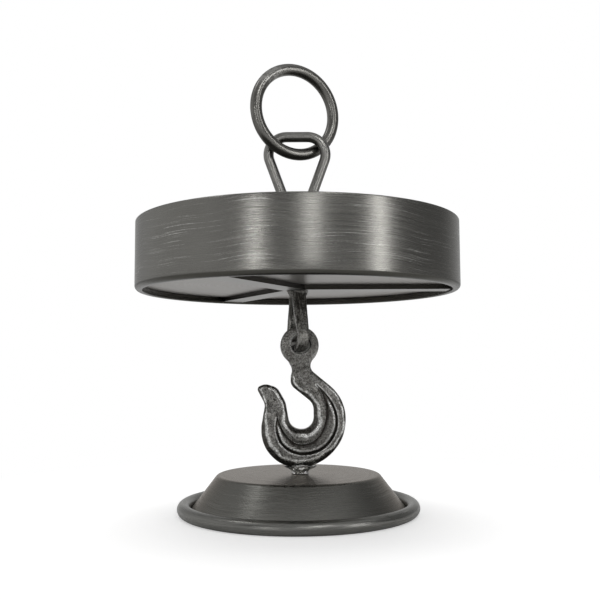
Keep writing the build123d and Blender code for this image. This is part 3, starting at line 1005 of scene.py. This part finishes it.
stage = {
    "tableSize": 6.0, "tableDrop": 0.00005, "tableFade": (0.09, 0.3), "floorTone": 0.86, "floorLift": 0.46,
    "roomTone": 0.22, "rearTone": 0.18, "backTone": 0.22, "topTone": 0.5, "leftTone": 0.5, "rightShade": 0.72,
    "lampMiddle": 0.14, "unreflected": "topBox",
    "boxes": [
        # name, azimuth from the camera side, elevation, distance, width, height, power
        ("rightBox", 54, 10, 1.3, 0.16, 0.8, 1.85),
        ("leftBox", -27, 8, 1.5, 0.06, 0.6, 1.1),
        ("frontBox", 9, 13, 1.6, 0.2, 0.4, 0.98),
        ("frontHigh", 22, 34, 1.5, 0.3, 0.2, 1.7),
        ("highBox", -88, 55, 1.3, 0.25, 0.25, 0.6),
        ("topBox", 180, 76, 1.5, 1.3, 1.0, 12),
    ],
}
camera = {
    "place": (0.00145, -0.4942, 0.0881), "pitch": 4.87, "roll": -0.27, "lens": 47.63, "sensor": 36.0,
    "clip": (0.01, 50),
}


def mixShaders(tree, output, share, first, second):
    both = addNode(tree, "MixShader", {0: share, 1: first.outputs[0], 2: second.outputs[0]})
    addNode(tree, output, {0: both.outputs[0]})


def makeTable(settings):
    size = settings["tableSize"]
    corners = [(-size, -size, 0), (size, -size, 0), (size, size, 0), (-size, size, 0)]
    mesh = bpy.data.meshes.new("table")
    mesh.from_pydata(corners, [], [(0, 1, 2, 3)])
    table = addObject("table", mesh)
    table.location.z = -settings["tableDrop"]
    material, tree = newMaterial("tableWhite")
    cloth = addNode(tree, "BsdfDiffuse", {"Color": [settings["floorTone"]] * 3})
    glow = addNode(tree, "Emission", {"Strength": 1.0})
    # away from the object the table fades into the white backdrop
    place = addNode(tree, "NewGeometry").outputs["Position"]
    fade = mapRange(tree, vectorMath(tree, "LENGTH", {0: place}, "Value"), *settings["tableFade"])
    seen = addNode(tree, "LightPath").outputs["Is Camera Ray"]
    # seen by the camera, the cloth is lifted to white and keeps its shadow
    lift = addNode(tree, "Emission", {"Strength": mathNode(tree, "MULTIPLY", seen, settings["floorLift"])})
    lifted = addNode(tree, "AddShader", {0: cloth.outputs[0], 1: lift.outputs[0]})
    mixShaders(tree, "OutputMaterial", mathNode(tree, "MULTIPLY", fade, seen), lifted, glow)
    paint(table, material)


def makeWorld(settings):
    # a grey room for the steel to reflect, and white where the camera sees it
    world = bpy.data.worlds.new("studio")
    bpy.context.scene.world = world
    world.use_nodes = True
    tree = world.node_tree
    tree.nodes.clear()
    way = addNode(tree, "TexCoord").outputs["Generated"]
    x, y, z = addNode(tree, "SeparateXYZ", {0: way}).outputs
    behind = mapRange(tree, y, 0.84, 0.97)
    rear = mapRange(tree, y, 0.4, 0.8)
    above = mapRange(tree, z, 0.35, 0.95)
    left = mapRange(tree, x, -0.3, -0.9)
    right = mapRange(tree, x, 0.45, 0.85, 1.0, settings["rightShade"])
    tone = mathNode(tree, "MULTIPLY_ADD", behind, settings["backTone"], settings["roomTone"])
    tone = mathNode(tree, "MULTIPLY_ADD", rear, settings["rearTone"], tone)
    tone = mathNode(tree, "MAXIMUM", tone, mathNode(tree, "MULTIPLY", above, settings["topTone"]))
    tone = mathNode(tree, "MAXIMUM", tone, mathNode(tree, "MULTIPLY", left, settings["leftTone"]))
    tone = mathNode(tree, "MULTIPLY", tone, right)
    room = addNode(tree, "Background", {"Color": (1, 1, 1), "Strength": tone})
    white = addNode(tree, "Background", {"Color": (1, 1, 1), "Strength": 1.0})
    mixShaders(tree, "OutputWorld", addNode(tree, "LightPath").outputs["Is Camera Ray"], room, white)


def makeLamps(settings):
    middle = Vector((0, 0, settings["lampMiddle"]))
    for name, azimuth, elevation, distance, width, height, power in settings["boxes"]:
        light = bpy.data.lights.new(name, "AREA")
        light.shape = "RECTANGLE"
        light.size, light.size_y = width, height
        light.energy = power
        lamp = addObject(name, light)
        azimuth, elevation = math.radians(azimuth), math.radians(elevation)
        way = Vector((math.sin(azimuth) * math.cos(elevation), -math.cos(azimuth) * math.cos(elevation),
                      math.sin(elevation)))
        lamp.location = middle + way * distance
        lamp.rotation_euler = (-way).to_track_quat("-Z", "Y").to_euler()
        lamp.visible_glossy = name != settings["unreflected"]


def makeCamera(settings):
    lens = bpy.data.cameras.new("camera")
    lens.lens = settings["lens"]
    lens.sensor_width = settings["sensor"]
    lens.clip_start, lens.clip_end = settings["clip"]
    eye = addObject("camera", lens)
    eye.matrix_world = (
        Matrix.Translation(settings["place"])
        @ Matrix.Rotation(math.radians(90 + settings["pitch"]), 4, "X")
        @ Matrix.Rotation(math.radians(settings["roll"]), 4, "Z")
    )
    bpy.context.scene.camera = eye


makeTable(stage)
makeWorld(stage)
makeLamps(stage)
makeCamera(camera)
bpy.context.scene.view_settings.view_transform = "Standard"
print("stage, lamps and camera set")

bpy.context.view_layer.update()
